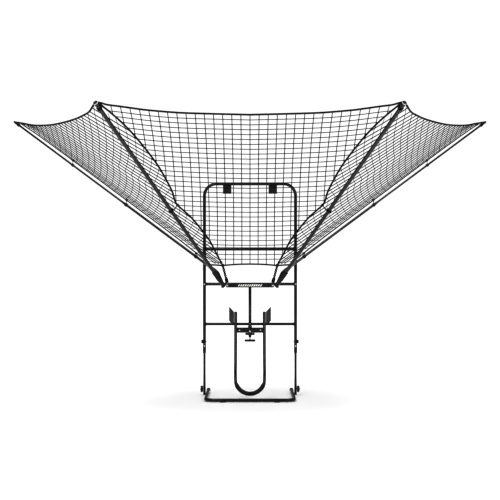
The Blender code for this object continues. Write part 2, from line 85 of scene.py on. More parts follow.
EDGE_LIFT = Vector((0.010, 0, 0.014))
SEAM_END = 0.88  # where the seam rope ends, as a share of the front pole
SEAM_TIE = 0.53  # where the seam is tied to the front pole
BOTTOM_RISE = 0.008  # how far the bottom rope's middle stands above its ends, as such a share
FRONT_SAG = ((0.0, 0.0595), (0.466, 0.0497), (0.666, 0.038), (0.864, 0.0185), (1.02, 0.004))
SIDE_SAG = ((0.0, 0.0), (0.05, 0.047), (0.21, 0.081), (0.40, 0.089), (0.51, 0.086),
            (0.71, 0.063), (0.85, 0.032), (1.0, 0.0))
SEAM_OFFSET = ((0.0, 0.012), (0.035, 0.045), (0.135, 0.099), (0.31, 0.127), (0.46, 0.100),
               (0.52, 0.072), (0.60, 0.110), (0.73, 0.128), (0.80, 0.114), (0.88, 0.099))
RAIL_X = 0.11
RAIL_R = 0.0117
RAIL_ROUTE = ((0.345, 0.646), (0.325, 0.590), (0.305, 0.535), (0.280, 0.460), (0.245, 0.370),
              (0.200, 0.270), (0.150, 0.186))
RAIL_END = ((0.1063, 0.087, 0.125), (0.0901, 0.041, 0.095), (0.0631, 0.0046, 0.0714),
            (0.0285, -0.017, 0.0573), (0.0, -0.022, 0.054))
STEM_Y = 0.325

# Ropes and cords
ROPE_R = 0.0066
BOTTOM_ROPE_R = 0.0058
EDGE_ROPE_R = 0.0048
CORD_R = 0.0024
THIN_CORD_R = 0.002
TWIST_CORD_R = 0.0042
ROPE_STEP = 0.004
ROPE_LAY = 0.028  # length of one turn of a rope's strands
LOBE_POWER = 0.7  # below 1 it makes the strands rounder
WRAP_PITCH = 1.9  # distance between turns of a whipping, in cord radii

# Netting
TWINE_R = 0.0029
KNOT_R = 0.0054
COLUMNS = 16  # on each side of the middle one
COLUMN_PITCH = 0.0617
COLUMN_DRAW = 0.06
ROWS = 31
ROW_STEP = 0.0232
ROW_GROWTH = 0.0000963
ROW_LEVEL = 0.75  # share of the pole below which rows run level
PANEL_HALF_WIDTH = 1.02
FRONT_HANG = 0.012
SIDE_HANG = 0.006
STRAND_PITCH = 0.068
STRAND_CROWDING = 0.8  # below 1 the strands close up towards the front pole
STRAND_R = TWINE_R * 1.15
CROSS_COUNT = 45
CROSS_PITCH = 0.0615
CROSS_R = TWINE_R * 0.6

PIECE_SHARP = math.radians(35)
NODE_SHARP = math.radians(40)


# ---- Curves and meshes

def between(table, x):
    """The value at x on a smooth curve through (x, value) pairs."""
    count = len(table)
    last = max(i for i in range(count - 1) if table[i][0] <= max(x, table[0][0]))
    x0, y0 = table[last]
    x1, y1 = table[last + 1]
    before = table[max(last - 1, 0)]
    after = table[min(last + 2, count - 1)]
    slope0 = (y1 - before[1]) / (x1 - before[0])
    slope1 = (after[1] - y0) / (after[0] - x0)
    t = min(max((x - x0) / (x1 - x0), 0.0), 1.0)
    span = x1 - x0
    return ((2 * t**3 - 3 * t**2 + 1) * y0 + (t**3 - 2 * t**2 + t) * span * slope0
            + (3 * t**2 - 2 * t**3) * y1 + (t**3 - t**2) * span * slope1)


def smooth(points, steps=4):
    """A Catmull-Rom curve through the points."""
    points = [Vector(p) for p in points]
    padded = [2 * points[0] - points[1], *points, 2 * points[-1] - points[-2]]
    curve = []
    for a, b, c, d in zip(padded, padded[1:], padded[2:], padded[3:]):
        for i in range(steps):
            t = i / steps
            quadratic = 2 * a - 5 * b + 4 * c - d
            cubic = 3 * b - a - 3 * c + d
            curve.append(0.5 * (2 * b + (c - a) * t + quadratic * t**2 + cubic * t**3))
    return curve + [points[-1]]


def evenly(points, step):
    """The same route with a point about every step."""
    points = np.array([tuple(p) for p in points])
    lengths = np.concatenate([[0], np.cumsum(np.linalg.norm(np.diff(points, axis=0), axis=1))])
    count = max(2, int(round(lengths[-1] / step)) + 1)
    wanted = np.linspace(0, lengths[-1], count)
    return np.stack([np.interp(wanted, lengths, points[:, k]) for k in range(3)], axis=1)


def section_frames(points):
    """Tangents and two cross-section axes along a route, turned as little as possible."""
    steps = np.diff(points, axis=0)
    steps /= np.maximum(np.linalg.norm(steps, axis=1, keepdims=True), 1e-12)
    tangents = np.concatenate([steps[:1], steps[:-1] + steps[1:], steps[-1:]])
    tangents /= np.linalg.norm(tangents, axis=1, keepdims=True)
    side = np.cross(tangents[0], (0, 0, 1) if abs(tangents[0][2]) < 0.9 else (1, 0, 0))
    sides = []
    for tangent in tangents:
        side = side - tangent * side.dot(tangent)
        side /= np.linalg.norm(side)
        sides.append(side)
    sides = np.array(sides)
    return tangents, sides, np.cross(tangents, sides)


class Shape:
    """Points and faces collected from several closed bodies."""

    def __init__(self):
        self.points = []
        self.faces = []
        self.count = 0

    def add(self, points, faces):
        self.points.append(np.asarray(points, float))
        self.faces += [tuple(i + self.count for i in face) for face in faces]
        self.count += len(points)

    def tube(self, route, radius, sides=8, lobes=0, pitch=0.03, depth=0.16):
        """A closed tube; with lobes it is a laid rope whose strands turn once every pitch."""
        route = np.asarray([tuple(p) for p in route], float)
        _, across, up = section_frames(route)
        run = np.concatenate([[0], np.cumsum(np.linalg.norm(np.diff(route, axis=0), axis=1))])
        turns = np.arange(sides) * 2 * math.pi / sides
        radii = np.broadcast_to(np.asarray(radius, float), (len(route),))
        rings = []
        for i, centre in enumerate(route):
            r = radii[i] * np.ones(sides)
            if lobes:
                phase = turns - run[i] / pitch * 2 * math.pi
                r = r * (1 - depth + depth * np.abs(np.cos(lobes * phase / 2)) ** LOBE_POWER)
            spokes = np.cos(turns)[:, None] * across[i] + np.sin(turns)[:, None] * up[i]
            rings.append(centre + r[:, None] * spokes)
        faces = []
        for i in range(len(route) - 1):
            here = i * sides
            ahead = here + sides
            for j in range(sides):
                k = (j + 1) % sides
                faces.append((here + j, here + k, ahead + k, ahead + j))
        faces.append(tuple(range(sides))[::-1])
        faces.append(tuple((len(route) - 1) * sides + j for j in range(sides)))
        self.add(np.concatenate(rings), faces)

    def turned(self, profile, origin, axis, sides=32, closed=False):
        """A turned body; the profile holds (radius, distance along the axis)."""
        axis = Vector(axis).normalized()
        side = axis.orthogonal().normalized()
        up = axis.cross(side)
        rings = []
        points = []
        for radius, along in profile:
            centre = Vector(origin) + axis * along
            ring = []
            for j in range(sides if radius > 0 else 1):
                a = 2 * math.pi * j / sides
                ring.append(len(points))
                points.append(centre + (side * math.cos(a) + up * math.sin(a)) * radius)
            rings.append(ring)
        faces = []
        pairs = list(zip(rings, rings[1:]))
        if closed:
            pairs.append((rings[-1], rings[0]))
        for first, second in pairs:
            for j in range(sides):
                k = (j + 1) % sides
                if len(first) == 1:
                    faces.append((first[0], second[k], second[j]))
                elif len(second) == 1:
                    faces.append((first[j], first[k], second[0]))
                else:
                    faces.append((first[j], first[k], second[k], second[j]))
        self.add([tuple(p) for p in points], faces)

    def ball(self, centre, radius, template):
        points, faces = template
        self.add(points * radius + np.asarray(tuple(centre)), faces)

    def prism(self, outline, front, back):
        """A plate between two Y values; the outline holds (x, z)."""
        count = len(outline)
        points = [(x, y, z) for y in (front, back) for x, z in outline]
        faces = [tuple(range(count)), tuple(range(2 * count - 1, count - 1, -1))]
        for i in range(count):
            k = (i + 1) % count
            faces.append((i, i + count, k + count, k))
        self.add(points, faces)

    def piece(self, name, body, finish, slot, replaced=()):
        """One object of the collected bodies, riding on a CAD body."""
        mesh = bpy.data.meshes.new(name)
        mesh.from_pydata(np.concatenate(self.points).tolist(), [], self.faces)
        shape = bmesh.new()
        shape.from_mesh(mesh)
        bmesh.ops.recalc_face_normals(shape, faces=shape.faces)
        shape.to_mesh(mesh)
        shape.free()
        mesh.shade_smooth()
        mesh.set_sharp_from_angle(angle=PIECE_SHARP)
        obj = bpy.data.objects.new(name, mesh)
        bpy.context.collection.objects.link(obj)
        mesh.materials.append(finish)
        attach(obj, body)
        if replaced:
            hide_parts(*replaced)


def ball_template(subdivisions):
    shape = bmesh.new()
    bmesh.ops.create_icosphere(shape, subdivisions=subdivisions, radius=1.0)
    points = np.array([tuple(v.co) for v in shape.verts])
    faces = [tuple(v.index for v in f.verts) for f in shape.faces]
    shape.free()
    return points, faces


def flipped(points):
    return [Vector((-p[0], p[1], p[2])) for p in points]


# ---- Geometry of the funnel, left side

def front_pole(t):
    return FRONT_TIP.lerp(FRONT_FOOT, t)


def in_front_plane(x, t):
    place = front_pole(t)
    return Vector((x, place.y, place.z))


def seam_x(t):
    return front_pole(t).x + between(SEAM_OFFSET, t)


def seam(t):
    return in_front_plane(seam_x(t), t)


def top_of_front(x):
    return in_front_plane(x, between(FRONT_SAG, abs(x)))


def top_of_side(s):
    place = FRONT_TIP.lerp(REAR_TIP, s)
    place.z -= between(SIDE_SAG, s)
    return place


NET_U = (REAR_FOOT - REAR_TIP).normalized()
NET_V = (FRONT_TIP - REAR_TIP - NET_U).normalized()
NET_V_LENGTH = (FRONT_TIP - REAR_TIP - NET_U).length
POLE_SPAN = FRONT_FOOT - FRONT_TIP
SEAM_RATE = NET_U.x * POLE_SPAN.z / NET_U.z - POLE_SPAN.x
EDGE_BOTTOM = REAR_TIP + NET_U * EDGE_REACH + NET_V * EDGE_OFFSET
CORNER = seam(SEAM_END)
FRONT_AXIS = (FRONT_TIP - FRONT_FOOT).normalized()
REAR_AXIS = (REAR_TIP - REAR_FOOT).normalized()


def edge_point(distance):
    return REAR_TIP + NET_U * distance + NET_V * EDGE_OFFSET


def across_of_seam(t):
    return NET_V_LENGTH * (1 - t + between(SEAM_OFFSET, t) / SEAM_RATE)


def side_end(v):
    """Where the side panel's strand at v ends: on the seam rope or on the bottom rope."""
    lowest = across_of_seam(SEAM_END)
    if v <= lowest:
        return EDGE_BOTTOM.lerp(CORNER, (v - EDGE_OFFSET) / (lowest - EDGE_OFFSET))
    low = 0.03
    high = SEAM_END
    for _ in range(30):
        middle = (low + high) / 2
        if across_of_seam(middle) > v:
            low = middle
        else:
            high = middle
    return seam(high)


def side_strand(v):
    """(top point, end point) of the side panel's strand at v."""
    return top_of_side(1 - v / NET_V_LENGTH), side_end(v)


def on_side(share, v):
    top, end = side_strand(v)
    place = top.lerp(end, share)
    across = v / NET_V_LENGTH
    hang = SIDE_HANG * math.sin(math.pi * share) * math.sin(math.pi * across)
    lift = math.sin(math.pi * min(share * 8, 0.5)) * max(0.0, 1 - 2 * across)
    return place + EDGE_LIFT * lift - Vector((0, 0, hang))


# ---- Materials

def new_material(name, color, roughness, metallic=0.0, coat=0.0, gloss=0.5):
    """A node material, its tree and its shader."""
    made = bpy.data.materials.new(name)
    made.use_nodes = True
    nodes = made.node_tree.nodes
    shader = nodes["Principled BSDF"]
    shader.inputs["Metallic"].default_value = metallic
    shader.inputs["Coat Weight"].default_value = coat
    shader.inputs["Coat Roughness"].default_value = 0.12
    shader.inputs["Roughness"].default_value = roughness
    shader.inputs["Specular IOR Level"].default_value = gloss
    shader.inputs["Base Color"].default_value = (*color, 1)
    return made, made.node_tree, shader


def noise(tree, scale, detail=4.0, rough=0.55, stretch=None):
    coords = tree.nodes.new("ShaderNodeTexCoord")
    found = tree.nodes.new("ShaderNodeTexNoise")
    found.inputs["Scale"].default_value = scale
    found.inputs["Detail"].default_value = detail
    found.inputs["Roughness"].default_value = rough
    source = coords.outputs["Object"]
    if stretch:
        mapping = tree.nodes.new("ShaderNodeMapping")
        mapping.inputs["Scale"].default_value = stretch
        tree.links.new(source, mapping.inputs["Vector"])
        source = mapping.outputs["Vector"]
    tree.links.new(source, found.inputs["Vector"])
    return found.outputs["Fac"]


def ramp(tree, value, stops):
    found = tree.nodes.new("ShaderNodeValToRGB")
    elements = found.color_ramp.elements
    for i, (place, color) in enumerate(stops):
        element = elements[i] if i < 2 else elements.new(place)
        element.position = place
        element.color = (*color, 1)
    tree.links.new(value, found.inputs["Fac"])
    return found.outputs["Color"]


def spread(tree, value, low, high):
    found = tree.nodes.new("ShaderNodeMapRange")
    found.inputs["To Min"].default_value = low
    found.inputs["To Max"].default_value = high
    tree.links.new(value, found.inputs["Value"])
    return found.outputs["Result"]


def bump(tree, shader, value, strength, distance):
    found = tree.nodes.new("ShaderNodeBump")
    found.inputs["Strength"].default_value = strength
    found.inputs["Distance"].default_value = distance
    tree.links.new(value, found.inputs["Height"])
    tree.links.new(found.outputs["Normal"], shader.inputs["Normal"])


def paint_like(name, dark, light, rough, grain=900.0, coat=0.1, peel=0.12):
    """Powder coat, paint, plastic or rubber: mottled colour, uneven gloss and fine bump."""
    made, tree, shader = new_material(name, dark, rough[0], coat=coat, gloss=0.3)
    mottle = ramp(tree, noise(tree, 14.0), [(0.35, dark), (0.7, light)])
    tree.links.new(mottle, shader.inputs["Base Color"])
    marks = noise(tree, 42.0, 6.0, 0.7, (1.0, 1.0, 0.35))
    tree.links.new(spread(tree, marks, *rough), shader.inputs["Roughness"])
    bump(tree, shader, noise(tree, grain, 2.0), peel, 0.0004)
    return made


def twine_like(name, dark, light, scale, strength):
    """Twisted fibre: fine diagonal bands and fuzz."""
    made, tree, shader = new_material(name, dark, 0.75, gloss=0.18)
    coords = tree.nodes.new("ShaderNodeTexCoord")
    wave = tree.nodes.new("ShaderNodeTexWave")
    wave.bands_direction = "DIAGONAL"
    wave.inputs["Scale"].default_value = scale
    wave.inputs["Distortion"].default_value = 1.2
    wave.inputs["Detail"].default_value = 2.0
    tree.links.new(coords.outputs["Object"], wave.inputs["Vector"])
    bands = ramp(tree, wave.outputs["Fac"], [(0.2, dark), (0.9, light)])
    tree.links.new(bands, shader.inputs["Base Color"])
    tree.links.new(spread(tree, noise(tree, 300.0), 0.6, 0.9), shader.inputs["Roughness"])
    bump(tree, shader, wave.outputs["Fac"], strength, 0.0006)
    return made


def metal_like(name, color, low, high, scratch):
    """Plated steel: long fine scratches and slight tarnish."""
    made, tree, shader = new_material(name, color, low, 1.0)
    darker = tuple(c * 0.72 for c in color)
    tarnish = ramp(tree, noise(tree, 60.0), [(0.3, darker), (0.65, color)])
    tree.links.new(tarnish, shader.inputs["Base Color"])
    lines = noise(tree, 220.0, 3.0, 0.6, (1.0, 1.0, 0.08))
    tree.links.new(spread(tree, lines, low, high), shader.inputs["Roughness"])
    bump(tree, shader, lines, scratch, 0.0002)
    return made


PAINT = paint_like("gloss_black_powder_coat", (0.0035, 0.0035, 0.004), (0.010, 0.010, 0.011),
                   (0.20, 0.38))
POLE = paint_like("dark_pole_coat", (0.012, 0.012, 0.013), (0.018, 0.018, 0.019),
                  (0.22, 0.29), 1400.0, 0.30, 0.03)
HARD = paint_like("moulded_black_plastic", (0.006, 0.006, 0.006), (0.016, 0.016, 0.016),
                  (0.38, 0.58), 1800.0, 0.0, 0.35)
# The guards are black plastic given a lighter grey colour. The grey is painted reflection, standing
# for the light their faces reflect.
GUARD_PAINTED_REFLECTION = paint_like("guard_plastic_painted_reflection", (0.022, 0.022, 0.024), (0.042, 0.042, 0.045),
                   (0.42, 0.62), 1500.0, 0.0, 0.35)
RUBBER = paint_like("matt_rubber", (0.008, 0.008, 0.008), (0.022, 0.021, 0.020),
                    (0.68, 0.92), 1200.0, 0.0, 0.5)
CAP = paint_like("moulded_cap", (0.012, 0.012, 0.013), (0.028, 0.028, 0.030),
                 (0.30, 0.46), 900.0, 0.0, 0.2)
LOOP = paint_like("clear_grey_tie", (0.42, 0.42, 0.44), (0.55, 0.55, 0.57),
                  (0.22, 0.38), 500.0, 0.2, 0.08)
STEEL = metal_like("zinc_plated_bolt", (0.62, 0.62, 0.64), 0.18, 0.42, 0.15)
BADGE = paint_like("pale_badge_ink", (0.62, 0.62, 0.60), (0.76, 0.76, 0.74),
                   (0.35, 0.5), 900.0, 0.2, 0.1)
TWINE = twine_like("black_net_twine", (0.003, 0.003, 0.003), (0.014, 0.014, 0.015), 260.0, 0.5)
ROPE = twine_like("black_laid_rope", (0.002, 0.002, 0.002), (0.011, 0.011, 0.012), 180.0, 0.6)


# ---- Netting

def clipped(place, valid, low, high, count):
    """Points of place(s) for s from low to high, from the first valid(s) to the last.

    Both ends are found by halving, so that a strand ends on its rope.
    """
    steps = np.linspace(low, high, count)
    good = [i for i, s in enumerate(steps) if valid(s)]
    if len(good) < 2:
        return []
    first, last = good[0], good[-1]

    def edge(inside, outside):
        for _ in range(14):
            middle = (inside + outside) / 2
            if valid(middle):
                inside = middle
            else:
                outside = middle
        return inside

    wanted = list(steps[first:last + 1])
    if first > 0:
        wanted.insert(0, edge(steps[first], steps[first - 1]))
    if last < count - 1:
        wanted.append(edge(steps[last], steps[last + 1]))
    return [place(s) for s in wanted]


def in_front_net(x, t):
    lowest = SEAM_END - BOTTOM_RISE * max(0.0, 1 - (x / 0.2) ** 2)
    return between(FRONT_SAG, abs(x)) <= t <= lowest and abs(x) <= abs(seam_x(t))


def row_share(row, x):
    """Share of the front pole for a row at x; rows follow the top rope near it."""
    middle = FRONT_SAG[0][1] + ROW_STEP * row + ROW_GROWTH * row * row
    rise = FRONT_SAG[0][1] - between(FRONT_SAG, abs(x))
    return middle - rise * max(0.0, 1 - middle / ROW_LEVEL)


def column_x(column, t):
    """A column draws in slightly between the ropes."""
    draw = COLUMN_DRAW * math.sin(math.pi * min(t / 0.95, 1.0)) ** 0.8
    return column * COLUMN_PITCH * (1 - draw)


def belly(x, t):
    """A point of the front panel: the net sags a little between its ropes."""
    place = in_front_plane(x, t)
    width = max(abs(seam_x(min(t, SEAM_END))), 0.1)
    free = max(0.0, 1 - (x / width) ** 2)
    place.z -= FRONT_HANG * math.sin(math.pi * min(max(t / SEAM_END, 0), 1)) * free
    return place


def front_net():
    shape = Shape()
    ball = ball_template(1)
    columns = range(-COLUMNS, COLUMNS + 1)
    for column in columns:
        route = clipped(lambda t: belly(column_x(column, t), t),
                        lambda t: in_front_net(column_x(column, t), t), 0.0, SEAM_END, 120)
        if route:
            shape.tube(evenly(route, 0.03), TWINE_R, 6)
    for row in range(1, ROWS):
        half = clipped(lambda x: belly(x, row_share(row, x)),
                       lambda x: in_front_net(x, row_share(row, x)), 0.0, PANEL_HALF_WIDTH, 120)
        if not half:
            continue
        reach = half[-1].x
        shape.tube(evenly(flipped(half[:0:-1]) + half, 0.03), TWINE_R, 6)
        for column in columns:
            x = column_x(column, row_share(row, column * COLUMN_PITCH))
            if abs(x) < reach:
                shape.ball(belly(x, row_share(row, x)), KNOT_R, ball)
    return shape


def side_net(sign):
    shape = Shape()
    ball = ball_template(1)
    turn = np.array([sign, 1, 1])
    room = NET_V_LENGTH - EDGE_OFFSET
    count = int(room / STRAND_PITCH)
    across = [EDGE_OFFSET + room * (i / count) ** STRAND_CROWDING for i in range(1, count)]
    for v in across:
        top, end = side_strand(v)
        number = max(4, int((end - top).length / 0.05))
        route = np.array([tuple(on_side(s, v)) for s in np.linspace(0, 1, number)]) * turn
        shape.tube(route, STRAND_R, 6)
    for i in range(1, CROSS_COUNT):
        distance = CROSS_PITCH * i

        def share_at(v):
            top, end = side_strand(v)
            return (distance - v / NET_V_LENGTH) / max((end - top).length, 0.02)

        route = clipped(lambda v: on_side(share_at(v), v), lambda v: 0 <= share_at(v) <= 1,
                        EDGE_OFFSET, NET_V_LENGTH * 0.992, 90)
        if len(route) > 2:
            shape.tube(evenly(route, 0.035) * turn, CROSS_R, 6)
        for v in across:
            share = share_at(v)
            if 0 < share < 1:
                shape.ball(np.array(tuple(on_side(share, v))) * turn, KNOT_R * 0.85, ball)
    return shape


def make_netting():
    front_net().piece("netting_front", "upper_frame", TWINE, "netting", ["net_front"])
    for name, sign in SIDES:
        side_net(sign).piece(f"netting_side_{name}", "upper_frame", TWINE, "netting",
                             [f"net_side_{name}"])


# ---- Ropes, lashings and clips

def laid(shape, route, radius=ROPE_R):
    """A three-strand rope."""
    shape.tube(evenly(route, ROPE_STEP), radius, 12, 3, ROPE_LAY)


def whipping(shape, centre, axis, radius, turns, cord_r=CORD_R):
    """Cord wound round a rod."""
    axis = Vector(axis).normalized()
    side = axis.orthogonal().normalized()
    up = axis.cross(side)
    route = []
    for i in range(turns * 16 + 1):
        a = 2 * math.pi * i / 16
        along = (i / 16 - turns / 2) * cord_r * WRAP_PITCH
        spoke = (side * math.cos(a) + up * math.sin(a)) * (radius + cord_r)
        route.append(Vector(centre) + spoke + axis * along)
    shape.tube(route, cord_r, 7)


def cord(shape, points, turn):
    """A thin tie through points of the left side; turn mirrors them."""
    route = smooth([p * turn for p in points], 6)
    shape.tube(evenly(route, 0.006), CORD_R, 8, 2, 0.012, 0.12)


def make_ropes():
    side_top = [top_of_side(s) for s in (0.995, 0.93, 0.85, 0.71, 0.51, 0.35, 0.21, 0.12, 0.06)]
    tip_turn = [FRONT_TIP + Vector((0.0, 0.046, 0.004))]
    front_top = [top_of_front(x) for x in (-0.94, -0.864, -0.75, -0.666, -0.466, -0.25, 0.0)]
    left = smooth(side_top + tip_turn + front_top, 6)
    top = Shape()
    laid(top, left + flipped(left[-2::-1]))
    top.piece("laid_top_rope", "upper_frame", ROPE, "rope", ["top_rope"])
    half = smooth([EDGE_BOTTOM, EDGE_BOTTOM.lerp(CORNER, 0.5), CORNER + Vector((0.004, 0.004, 0)),
                   in_front_plane(-0.1, SEAM_END - BOTTOM_RISE * 0.75),
                   in_front_plane(0, SEAM_END - BOTTOM_RISE)], 6)
    bottom = Shape()
    laid(bottom, half + flipped(half[-2::-1]), BOTTOM_ROPE_R)
    bottom.piece("laid_bottom_rope", "upper_frame", ROPE, "rope", ["bottom_rope"])
    seam_shares = (0.02, 0.05, 0.09, 0.135, 0.2, 0.31, 0.4, 0.46, 0.52, 0.56, 0.6, 0.66, 0.73,
                   0.8, SEAM_END)
    start = seam(0.0) + Vector((0.004, 0.018, 0.004))
    seam_route = smooth([start] + [seam(t) for t in seam_shares], 6)
    lifts = ((0.05, 0.3), (0.25, 0.8), (0.6, 1.0), (1.2, 1.0), (1.8, 0.9), (2.1, 0.5), (2.24, 0.0))
    edge_route = [edge_point(p) + EDGE_LIFT * lift for p, lift in lifts]
    for name, turn in (("left", list), ("right", flipped)):
        rope = Shape()
        laid(rope, turn(seam_route))
        rope.piece(f"laid_seam_rope_{name}", "upper_frame", ROPE, "rope", [f"seam_rope_{name}"])
        rope = Shape()
        laid(rope, turn(smooth(edge_route, 6)), EDGE_ROPE_R)
        rope.piece(f"laid_edge_rope_{name}", "upper_frame", ROPE, "rope", [f"edge_rope_{name}"])


def make_lashings():
    """Cord ties from the ropes to the pole tips, the poles and the front bar."""
    front_wrap = FRONT_TIP - FRONT_AXIS * WRAP_DROP
    rear_wrap = REAR_TIP - REAR_AXIS * WRAP_DROP
    near_tip = top_of_side(0.99)
    edge_start = edge_point(0.05) + EDGE_LIFT * 0.3
    pole_spot = front_pole(SEAM_TIE + 0.03)
    tie_spot = seam(SEAM_TIE)
    tie_axis = seam(SEAM_TIE + 0.02) - seam(SEAM_TIE - 0.02)
    for name, sign in SIDES:
        turn = Vector((sign, 1, 1))
        ties = Shape()
        whipping(ties, front_wrap * turn, FRONT_AXIS * turn, FRONT_POLE_R, 5)
        whipping(ties, rear_wrap * turn, REAR_AXIS * turn, REAR_UPPER_R, 5)
        cord(ties, (rear_wrap + Vector((0, 0, 0.010)), near_tip.lerp(rear_wrap, 0.4), near_tip),
             turn)
        cord(ties, (rear_wrap - Vector((0, 0.006, 0.008)), edge_start.lerp(rear_wrap, 0.5),
                    edge_start), turn)
        for goal in (FRONT_TIP + Vector((0, 0.046, 0.004)), seam(0.02)):
            cord(ties, (front_wrap + Vector((0.010, 0.010, 0.0)), front_wrap.lerp(goal, 0.6),
                        goal), turn)
        whipping(ties, pole_spot * turn, FRONT_AXIS * turn, FRONT_POLE_R, 3)
        for shift in (-0.005, 0.005):
            start = pole_spot + Vector((0.014, 0.004, shift))
            cord(ties, (start, start.lerp(tie_spot, 0.5) + Vector((0, 0, -0.004)), tie_spot), turn)
        whipping(ties, tie_spot * turn, tie_axis * turn, ROPE_R, 3, THIN_CORD_R)
        for distance in CLIPS:
            at_pole = REAR_FOOT + REAR_AXIS * distance
            fall = (at_pole - REAR_TIP).dot(NET_U)
            at_rope = edge_point(fall - 0.01) + EDGE_LIFT * (0.4 if distance < 0.3 else 1.0)
            cord(ties, (at_pole - Vector((0, 0.008, -0.006)), at_pole.lerp(at_rope, 0.55),
                        at_rope), turn)
            whipping(ties, at_rope * turn, NET_U * turn, EDGE_ROPE_R, 3, THIN_CORD_R)
        add_corner_cords(ties, turn)
        ties.piece(f"cord_ties_{name}", "upper_frame", ROPE, "rope")


def make_tip_loops():
    """A pale cable tie round each pole tip."""
    for name, sign in SIDES:
        turn = Vector((sign, 1, 1))
        loops = Shape()
        for tip, axis, radius in ((FRONT_TIP, FRONT_AXIS, FRONT_POLE_R),
                                  (REAR_TIP, REAR_AXIS, REAR_UPPER_R)):
            inner = radius + 0.0018
            outer = inner + 0.0014
            half = 0.0025
            loops.turned([(inner, -half), (outer, -half), (outer, half), (inner, half)],
                         (tip - axis * 0.004) * turn, axis * turn, 28, True)
        loops.piece(f"tip_loops_{name}", "upper_frame", LOOP, "cap_plastic")


def add_corner_cords(ties, turn):
    """Two cords twisted together from the net's lower corner to the hook on the front bar.

    A third cord ties the edge rope's lower end to the rear pole.
    """
    hook = Vector((-HOOK_X, BAR_Y + 0.002, BAR_Z + 0.022))
    step = 0.006
    twist_pitch = 0.05
    route = evenly([CORNER, hook], step)
    count = len(route)
    for phase in (0, math.pi):
        line = []
        for i, place in enumerate(route):
            a = phase + 2 * math.pi * i * step / twist_pitch
            opened = min(1, 4 * i / count, 4 * (count - 1 - i) / count)
            swing = 0.0062 * math.sin(math.pi * opened / 2)
            line.append((Vector(place) + Vector((math.cos(a), math.sin(a), 0)) * swing) * turn)
        ties.tube(line, TWIST_CORD_R, 8)
    along = (hook - CORNER) * turn
    whipping(ties, CORNER * turn, along, ROPE_R, 4, 0.0022)
    whipping(ties, hook.lerp(CORNER, 0.12) * turn, along, 0.0068, 6, 0.0032)
    at_rear = REAR_FOOT + REAR_AXIS * 0.075
    cord(ties, (EDGE_BOTTOM, EDGE_BOTTOM.lerp(at_rear, 0.5) + Vector((0.004, 0, 0)), at_rear),
         turn)


# ---- Tubes, poles and caps with true round sections

def dome_tube(shape, start, end, radius, edge=0.0015, sides=32):
    """A straight tube with eased ends."""
    start = Vector(start)
    along = Vector(end) - start
    length = along.length
    shape.turned([(0, 0), (radius - edge, 0), (radius - edge * 0.3, edge * 0.3), (radius, edge),
                  (radius, length - edge), (radius - edge * 0.3, length - edge * 0.3),
                  (radius - edge, length), (0, length)], start, along, sides)


def fillet_bead(shape, centre, axis, radius, bead=0.0022):
    """A weld bead round a tube's end."""
    profile = []
    for i in range(9):
        a = math.pi * i / 8
        profile.append((radius + bead * 0.2 + bead * math.sin(a), -bead * math.cos(a)))
    profile += [(radius - 0.001, bead), (radius - 0.001, -bead)]
    shape.turned(profile, centre, axis, 32, True)


def make_tubes():
    for name, sign in SIDES:
        x = -sign * UPRIGHT_X
        low, high = (corner[2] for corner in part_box(f"upright_{name}"))
        pipe = Shape()
        pipe.turned([(0, UPRIGHT_BORE_TOP), (UPRIGHT_BORE_R, UPRIGHT_BORE_TOP),
                     (UPRIGHT_BORE_R, low + 0.0006), (UPRIGHT_BORE_R + 0.0005, low),
                     (UPRIGHT_R - 0.0005, low), (UPRIGHT_R, low + 0.0006), (UPRIGHT_R, high),
                     (0, high)], (x, FRAME_Y, 0), (0, 0, 1), 36)
        pipe.piece(f"round_upright_{name}", "upper_frame", PAINT, "frame_paint",
                   [f"upright_{name}"])
        leg_low, leg_high = (corner[2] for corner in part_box(f"leg_{name}"))
        leg = Shape()
        dome_tube(leg, (x, FRAME_Y, leg_low), (x, FRAME_Y, leg_high), LEG_R)
        leg.piece(f"round_leg_{name}", "base", PAINT, "frame_paint", [f"leg_{name}"])
        arm = Shape()
        arm_low, arm_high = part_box(f"arm_{name}")
        arm_x = (arm_low[0] + arm_high[0]) / 2
        dome_tube(arm, (arm_x, arm_low[1], BAR_Z), (arm_x, arm_high[1], BAR_Z), ARM_R, 0.0008)
        arm.piece(f"round_arm_{name}", "upper_frame", PAINT, "frame_paint", [f"arm_{name}"])
    for name, z, radius in CROSSBARS:
        low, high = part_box(f"crossbar_{name}")
        bar = Shape()
        dome_tube(bar, (low[0], FRAME_Y, z), (high[0], FRAME_Y, z), radius, 0.0008)
        for end in (low[0] + 0.0015, high[0] - 0.0015):
            fillet_bead(bar, (end, FRAME_Y, z), (1, 0, 0), radius)
        bar.piece(f"round_crossbar_{name}", "upper_frame", PAINT, "frame_paint",
                  [f"crossbar_{name}"])
    low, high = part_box("center_post")
    post = Shape()
    dome_tube(post, (0, FRAME_Y, low[2]), (0, FRAME_Y, high[2]), POST_R, 0.0008)
    post.piece("round_center_post", "upper_frame", PAINT, "frame_paint", ["center_post"])
    make_top_loop()
    make_base_tube()
    make_rails()


def corner_arc(place, radius, start, stop, steps):
    """Points of an arc; place(c, s) is the point at the offset (c, s) from its centre."""
    angles = np.linspace(start, stop, steps)
    return [place(radius * math.cos(a), radius * math.sin(a)) for a in angles]


def make_top_loop():
    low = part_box("top_loop")[0][2]
    centre_x = -UPRIGHT_X + LOOP_CORNER
    centre_z = LOOP_TOP - LOOP_CORNER
    route = [Vector((-UPRIGHT_X, FRAME_Y, low)), Vector((-UPRIGHT_X, FRAME_Y, low + 0.012))]
    route += corner_arc(lambda c, s: Vector((centre_x + c, FRAME_Y, centre_z + s)), LOOP_CORNER,
                        math.pi, math.pi / 2, 18)
    loop = Shape()
    loop.tube(route + flipped(route[::-1]), UPRIGHT_R, 32)
    loop.piece("round_top_loop", "upper_frame", PAINT, "frame_paint", ["top_loop"])


